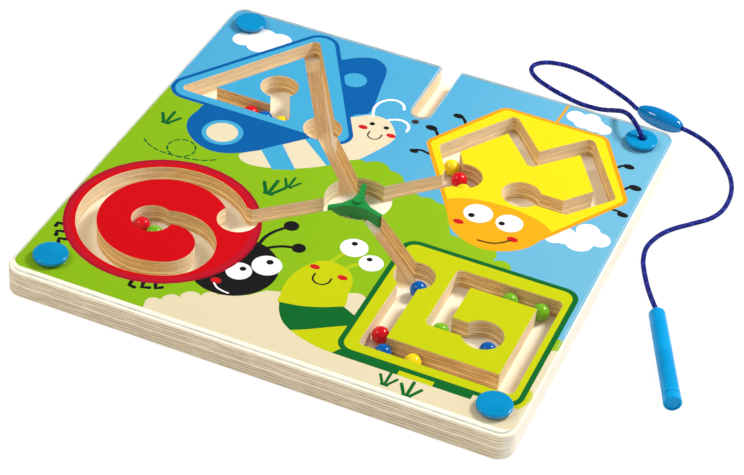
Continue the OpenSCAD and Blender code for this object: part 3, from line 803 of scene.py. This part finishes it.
def carried_frame(line):
    """Directions and two side vectors along a line, without twist."""
    ways = units(np.gradient(line, axis=0))
    side = np.zeros_like(line)
    start = np.array([1.0, 0.2, 0.3])
    for i, way in enumerate(ways):
        start = unit(start - way * (start @ way))
        side[i] = start
    return ways, side, np.cross(ways, side)


def tube(rings):
    """Faces of a closed tube through rings of points, with flat ends."""
    count, around = rings.shape[:2]
    faces = []
    for i in range(count - 1):
        for j in range(around):
            a, b = i * around + j, i * around + (j + 1) % around
            faces.append([a, b, b + around, a + around])
    faces.append(list(range(around))[::-1])
    faces.append([(count - 1) * around + j for j in range(around)])
    return faces


def braid(name, line, places, materials):
    """A braided cord along the line: strands that wind both ways over a dark core."""
    ways, side, other = carried_frame(line)
    points, faces, tones = [], [], []
    base = 0

    def add(rings, tone):
        nonlocal base
        made = tube(rings)
        points.append(rings.reshape(-1, 3))
        faces.extend([[k + base for k in face] for face in made])
        tones.extend([tone] * len(made))
        base += rings.shape[0] * rings.shape[1]

    turn = np.linspace(0, 2 * math.pi, STRAND_SIDES, endpoint=False)
    circle = np.linspace(0, 2 * math.pi, CORE_SIDES, endpoint=False)
    core = (line[:, None] + CORE_R * (np.cos(circle)[None, :, None] * side[:, None]
                                      + np.sin(circle)[None, :, None] * other[:, None]))
    add(core, 0)
    for hand in (1, -1):
        for k in range(STRANDS):
            phase = 2 * math.pi * places / BRAID_PITCH
            angle = hand * phase + 2 * math.pi * k / STRANDS
            out = np.cos(angle)[:, None] * side + np.sin(angle)[:, None] * other
            reach = BRAID_R + hand * WEAVE * np.cos(STRANDS * phase)
            middle = line + reach[:, None] * out
            across = units(np.cross(units(np.gradient(middle, axis=0)), out))
            rings = (middle[:, None]
                     + STRAND_HALF[0] * np.cos(turn)[None, :, None] * across[:, None]
                     + STRAND_HALF[1] * np.sin(turn)[None, :, None] * out[:, None])
            # one strand of each braid takes the third, lighter yarn, painted sheen
            add(rings, 2 if k == 0 and hand == 1 else 1)
    made = new_mesh(name, np.vstack(points), faces, materials, tones, smooth=True)
    return made


def cords():
    """The lead from the rivet to the clasp, the tail from there to the wand, and the stub in its mouth."""
    lie = CORD_R + 0.03            # height of the cord's centre on the table
    rivet = (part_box("cord_rivet")[0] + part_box("cord_rivet")[1]) / 2 / MM
    clasp_left = np.array([117.08, 181.37, 6.13])
    clasp_right = np.array([147.14, 174.7, 6.13])
    clasp_way = unit(clasp_right - clasp_left)
    wand_top = np.array([185.2, -2.4, 5.23])
    wand_heading = math.radians(-66.3)
    wand_way = np.array([math.cos(wand_heading), math.sin(wand_heading), 0])
    mouth_gap = CORD_R + 0.15      # from a mouth to the point outside it where the cord bends
    plug_flex = clasp_right + mouth_gap * clasp_way
    wand_flex = wand_top - mouth_gap * wand_way
    lead_line = [
        [rivet.x, rivet.y, 4], [rivet.x, rivet.y, 9], [rivet.x, rivet.y, 17], [131.7, 132.3, 21],
        [129.7, 133, 24.8], [126.2, 135.4, 27.3], [122.2, 139.6, 27.8], [118, 145, 26.2],
        [112.6, 151.4, 22.3], [105.9, 158.4, 16.2], [98.9, 166, 9.3], [90.8, 172.4, 3.9],
        [80, 175.9, lie], [70, 178.4, lie], [58, 182.7, lie], [46, 189, lie], [39.4, 196.5, lie],
        [39.8, 204.3, lie], [47, 210.3, lie], [60, 212.5, lie], [76, 209.2, lie], [92, 201.8, lie],
        [101, 195.9, 2.4], [108, 189.2, 4.5],
        clasp_left - 2 * clasp_way, clasp_left + 1.5 * clasp_way, clasp_left + 4.2 * clasp_way,
    ]
    tail_line = [
        plug_flex - 4 * clasp_way, plug_flex - 2 * clasp_way, plug_flex, [150.9, 174.7, 5.5],
        [154, 175.6, 4.1], [157.2, 176, 2.9], [160.8, 175.4, 2], [165.8, 173, lie],
        [172.4, 167.5, lie], [180, 157.8, lie], [187, 147.1, lie], [191.4, 135.7, lie],
        [193.2, 123.2, lie], [192.2, 110.4, lie], [187.9, 100, lie], [179.8, 90.2, lie],
        [170.6, 79.6, lie], [164.7, 68.8, lie], [161.8, 56, lie], [163.5, 43.4, lie],
        [167.5, 32.8, lie], [172.1, 23, lie], [177, 13.4, 2.4], [180.9, 5.6, 4.2],
        wand_flex, wand_flex + 4 * wand_way,
    ]
    stub_line = [wand_flex + reach * wand_way for reach in (-1.6, -0.6, 1, 3, 5)]
    # the third yarn, a lighter blue on one strand, is painted sheen
    materials = [yarn("cord_core", (2, 6, 60), (8, 16, 98)),
                 yarn("cord_strand", (4, 12, 108), (20, 40, 168)),
                 yarn("cord_sheen_fleck", (26, 48, 160), (80, 110, 222))]
    lead = braid("braided_lead", *resample(lead_line, BRAID_STEP), materials)
    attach(lead, "cord_lead")
    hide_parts("cord_lead")
    line, places = resample(tail_line, BRAID_STEP)
    half = len(line) // 2
    upper = braid("braided_tail_upper", line[:half + 1], places[:half + 1], materials)
    lower = braid("braided_tail_lower", line[half:], places[half:], materials)
    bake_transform(upper)
    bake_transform(lower)
    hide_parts("cord_tail")
    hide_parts("cord_end")
    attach(braid("braided_stub", *resample(stub_line, BRAID_STEP), materials), "wand")


# ---- the object ------------------------------------------------------------------------------

printed_art()
cords()

dress(plywood("plywood"), "base_board", "maze_board")
dress(acrylic("clear_acrylic"), "clear_cover")
dress(plastic("rivet_plastic", (0, 138, 194), 0.12, 0.006, 0.45), "corner_rivets", "cord_rivet")
dress(plastic("rotor_plastic", (26, 142, 62), 0.3, 0.01, 0.3), "rotor")
dress(steel("axle_steel", (190, 190, 190), 0.3), "rotor_axle")
dress(steel("screw_steel", (150, 140, 130), 0.5), "keeper_screw")
dress(plastic("clasp_plastic", (0, 120, 190), 0.12, 0.003, 0.4), "clasp_socket", "clasp_plug")
dress(plastic("wand_plastic", (0, 150, 212), 0.28, 0.01, 0.12), "wand_barrel", "wand_tip")
dress(steel("magnet_steel", (150, 152, 158), 0.25), "wand_magnet")
dress(yarn("knot_yarn", (12, 14, 92), (40, 50, 160)), "plug_knot", "wand_knot")
for tone, colour in (("red", (226, 14, 30)), ("blue", (0, 96, 182)), ("yellow", (255, 226, 20)),
                     ("green", (118, 188, 36))):
    coat = paint("paint_" + tone, colour)
    dress(coat, *[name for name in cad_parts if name.startswith("ball_") and "_" + tone + "_" in name])


# ---- stage, light and camera -----------------------------------------------------------------

def area_light(name, place, target, size, power, colour=(1, 1, 1)):
    data = bpy.data.lights.new(name, "AREA")
    data.shape = "DISK"
    data.size = size
    data.energy = power
    data.color = colour
    made = bpy.data.objects.new(name, data)
    made.location = place
    made.rotation_mode = "QUATERNION"
    made.rotation_quaternion = (Vector(target) - Vector(place)).to_track_quat("-Z", "Y")
    bpy.context.scene.collection.objects.link(made)
    return made


def white_floor():
    """A white sweep that stays pure white but for a faint shadow."""
    s = Shader("floor_white")
    own = s.node("ShaderNodeEmission", None, {"Color": (1, 1, 1, 1), "Strength": 1.1}).outputs[0]
    lit = s.node("ShaderNodeBsdfDiffuse", None, {"Color": (0.8, 0.8, 0.8, 1)}).outputs[0]
    seen = s.node("ShaderNodeMixShader", None, {0: 0.16, 1: own, 2: lit}).outputs[0]
    path = s.node("ShaderNodeLightPath").outputs
    bounce = s.node("ShaderNodeBsdfDiffuse", None, {"Color": (0.85, 0.85, 0.85, 1)}).outputs[0]
    s.output(s.node("ShaderNodeMixShader", None, {0: path["Is Camera Ray"], 1: bounce, 2: seen}).outputs[0])
    reach = 4000
    corners = [(-reach, -reach), (reach, -reach), (reach, reach), (-reach, reach)]
    floor = new_mesh("floor", [(x, y, -0.05) for x, y in corners], [[0, 1, 2, 3]], [s.material])


def studio_world():
    """Even white light all round, weaker in reflections."""
    world = bpy.data.worlds.new("studio")
    bpy.context.scene.world = world
    world.use_nodes = True
    tree = world.node_tree
    tree.nodes.clear()
    path = tree.nodes.new("ShaderNodeLightPath")
    mix = tree.nodes.new("ShaderNodeMixShader")
    out = tree.nodes.new("ShaderNodeOutputWorld")
    tree.links.new(path.outputs["Is Glossy Ray"], mix.inputs[0])
    for slot, strength in ((1, 0.54), (2, 0.08)):
        light = tree.nodes.new("ShaderNodeBackground")
        light.inputs["Color"].default_value = (1, 1, 1, 1)
        light.inputs["Strength"].default_value = strength
        tree.links.new(light.outputs[0], mix.inputs[slot])
    tree.links.new(mix.outputs[0], out.inputs["Surface"])


def photo_camera():
    """The camera at the photo's viewing angle."""
    data = bpy.data.cameras.new("camera")
    data.sensor_width = 36
    data.lens = 105.5
    data.clip_start, data.clip_end = 0.05, 20
    made = bpy.data.objects.new("camera", data)
    right = (0.9191051, 0.38803517, 0.06837052)
    up = (-0.29341263, 0.55824092, 0.77606449)
    back = (0.2629731, -0.73334561, 0.6269365)
    place = (0.34854, -0.94261, 0.79765)
    made.matrix_world = Matrix([[right[i], up[i], back[i], place[i]] for i in range(3)] + [[0, 0, 0, 1]])
    bpy.context.scene.collection.objects.link(made)
    bpy.context.scene.camera = made


white_floor()
studio_world()
area_light("key", (0.76, 0.74, 1.06), (0, 0, 0), 0.42, 20.6, (1.0, 0.99, 0.965))
area_light("fill", (-0.84, -0.47, 1.15), (0, 0, 0), 0.45, 6)
area_light("side", (1.7, 0.1, 0.6), (0, 0, 0), 0.8, 2.5).visible_glossy = False
photo_camera()

scene = bpy.context.scene
scene.view_settings.view_transform = "Standard"
scene.view_settings.look = "None"
scene.cycles.max_bounces = 8
scene.cycles.transparent_max_bounces = 12
scene.cycles.use_denoising = True
